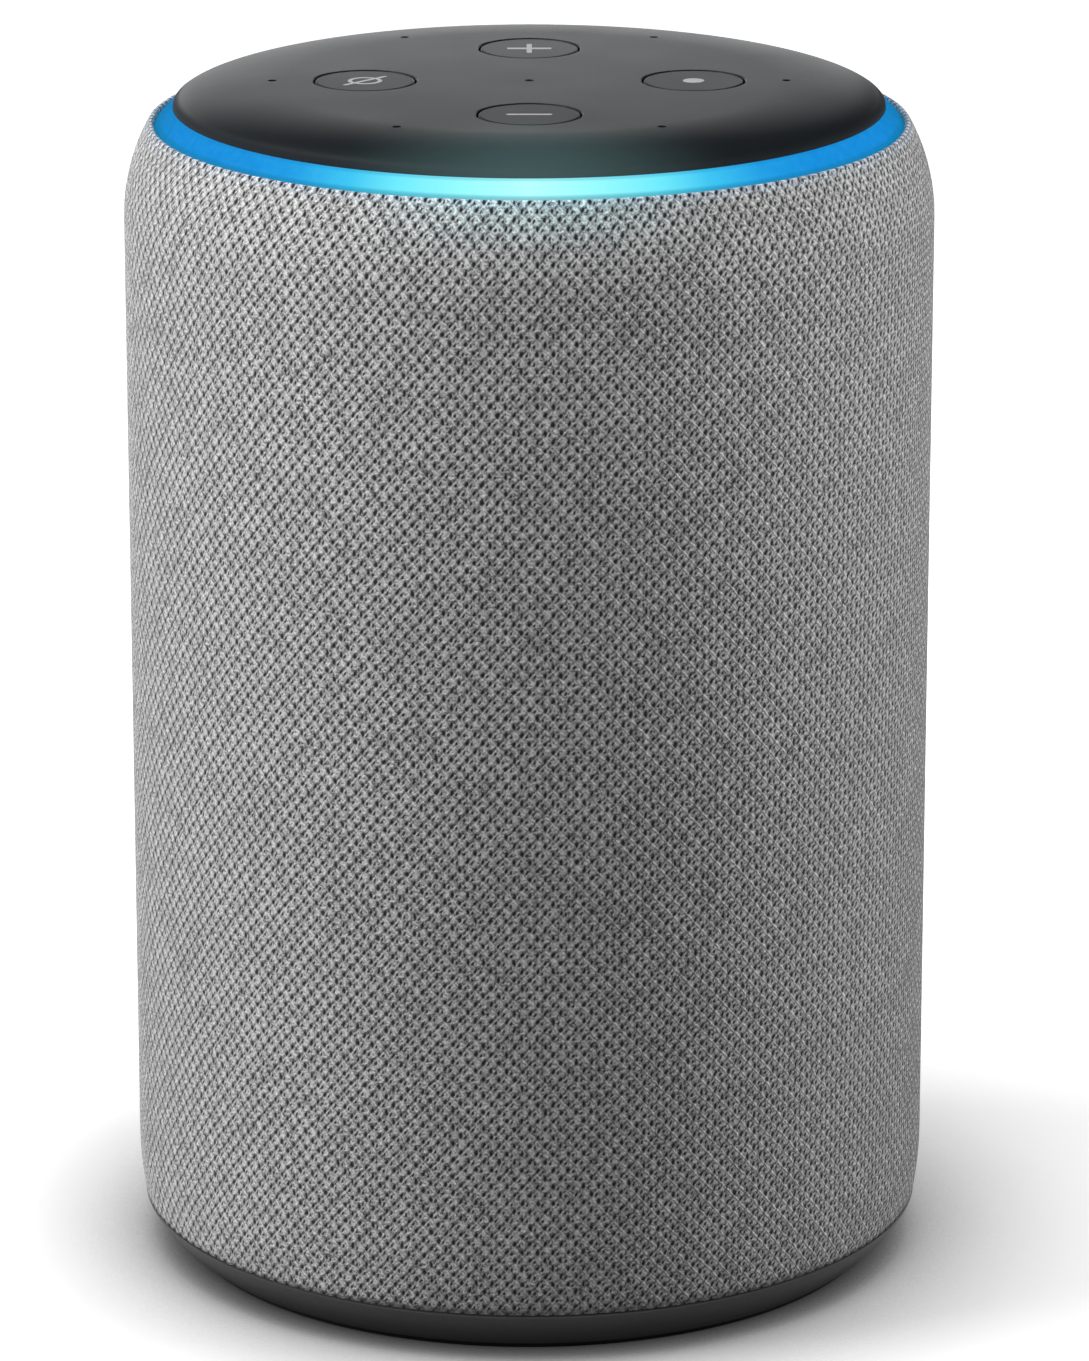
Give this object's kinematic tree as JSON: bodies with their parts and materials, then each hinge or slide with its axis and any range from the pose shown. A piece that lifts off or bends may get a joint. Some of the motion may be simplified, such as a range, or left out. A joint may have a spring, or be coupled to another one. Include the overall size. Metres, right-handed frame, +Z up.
{
  "type": "smart speaker",
  "caption": "Upright cylindrical smart speaker in grey melange fabric, with a dark top plate of round flush buttons inside a lit ring and a tapered dark base.",
  "frame": {"origin": "centre of the foot's underside, on the surface the speaker stands on", "axes": "+Z up along the body's axis to the top plate; -Y is the front, at the volume-down button; +Y is the rear, where the sockets are"},
  "size_m": [0.099, 0.099, 0.148],
  "materials": {
    "melange_fabric": "knitted grey melange yarn over an open black grille",
    "grille_plastic": "moulded black, fine texture",
    "ring_light": "clear diffusing moulding, lit blue and cyan",
    "plate_plastic": "soft-touch charcoal",
    "button_plastic": "soft-touch charcoal, printed marks",
    "stem_plastic": "moulded natural",
    "base_plastic": "moulded charcoal, satin",
    "foot_rubber": "matt, fine texture",
    "seal_rubber": "matt foam rubber",
    "board_laminate": "solder mask",
    "chip_plastic": "moulded black",
    "led_plastic": "white package",
    "can_steel": "tin plated",
    "screw_steel": "black zinc",
    "spreader_aluminium": "plain",
    "pad_silicone": "soft, matt",
    "cable_film": "flat ribbon",
    "frame_plastic": "moulded black",
    "enclosure_plastic": "moulded black, glass filled",
    "cone_paper": "pressed pulp",
    "surround_rubber": "smooth",
    "spider_cloth": "resin-dipped weave",
    "coil_copper": "enamelled copper wire",
    "motor_steel": "zinc plated",
    "magnet_ferrite": "ground ferrite",
    "dome_silk": "coated cloth",
    "socket_plastic": "moulded black",
    "contact_brass": "plain, turned"
  },
  "bodies": {
    "housing": {"fabric_sleeve": "melange_fabric", "grille_shell": "grille_plastic", "light_ring": "ring_light", "top_plate": "plate_plastic", "switch_housings": "chip_plastic", "microphones": "can_steel", "microphone_boots": "seal_rubber", "ring_leds": "led_plastic", "top_board": "board_laminate", "top_frame": "frame_plastic", "top_screws": "screw_steel", "main_board": "board_laminate", "board_screws": "screw_steel", "shield_can": "can_steel", "thermal_pad": "pad_silicone", "heat_spreader": "spreader_aluminium", "board_connectors": "led_plastic", "top_cable": "cable_film", "antennas": "board_laminate", "tweeter_yoke": "motor_steel", "tweeter_magnet": "magnet_ferrite", "tweeter_frame": "frame_plastic", "tweeter_reflector": "frame_plastic", "enclosure_cap": "enclosure_plastic", "cap_gasket": "seal_rubber", "cap_screws": "screw_steel", "speaker_enclosure": "enclosure_plastic", "woofer_gasket": "seal_rubber", "woofer_basket": "frame_plastic", "woofer_screws": "screw_steel", "woofer_surround": "surround_rubber", "woofer_spider": "spider_cloth", "woofer_front_plate": "motor_steel", "woofer_magnet": "magnet_ferrite", "woofer_back_plate": "motor_steel", "sound_deflector": "frame_plastic", "base_tray": "base_plastic", "base_screws": "screw_steel", "base_foot": "foot_rubber", "port_panel": "socket_plastic", "power_socket": "socket_plastic", "power_contact": "contact_brass", "line_socket": "socket_plastic", "port_board": "board_laminate", "port_plug": "led_plastic", "rear_cable": "cable_film"},
    "action_key": {"action_button": "button_plastic", "action_stem": "stem_plastic"},
    "volume_up_key": {"volume_up_button": "button_plastic", "volume_up_stem": "stem_plastic"},
    "volume_down_key": {"volume_down_button": "button_plastic", "volume_down_stem": "stem_plastic"},
    "microphone_off_key": {"microphone_off_button": "button_plastic", "microphone_off_stem": "stem_plastic"},
    "woofer_diaphragm": {"woofer_cone": "cone_paper", "woofer_dust_cap": "cone_paper", "woofer_voice_coil": "coil_copper"},
    "tweeter_diaphragm": {"tweeter_dome": "dome_silk"}
  },
  "joints": [
    {"name": "action_press", "type": "slide", "parent": "housing", "child": "action_key", "axis": [0, 0, -1], "range_m": [0, 0.0005], "stiffness_N_per_m": 2000, "springref_m": -0.0003},
    {"name": "volume_up_press", "type": "slide", "parent": "housing", "child": "volume_up_key", "axis": [0, 0, -1], "range_m": [0, 0.0005], "stiffness_N_per_m": 2000, "springref_m": -0.0003},
    {"name": "volume_down_press", "type": "slide", "parent": "housing", "child": "volume_down_key", "axis": [0, 0, -1], "range_m": [0, 0.0005], "stiffness_N_per_m": 2000, "springref_m": -0.0003},
    {"name": "microphone_off_press", "type": "slide", "parent": "housing", "child": "microphone_off_key", "axis": [0, 0, -1], "range_m": [0, 0.0005], "stiffness_N_per_m": 2000, "springref_m": -0.0003},
    {"name": "woofer_stroke", "type": "slide", "parent": "housing", "child": "woofer_diaphragm", "axis": [0, 0, 1], "range_m": [-0.0025, 0.0025], "stiffness_N_per_m": 1250, "deforming": ["woofer_surround", "woofer_spider"]},
    {"name": "tweeter_stroke", "type": "slide", "parent": "housing", "child": "tweeter_diaphragm", "axis": [0, 0, 1], "range_m": [-0.00025, 0.00025], "stiffness_N_per_m": 2000}
  ]
}
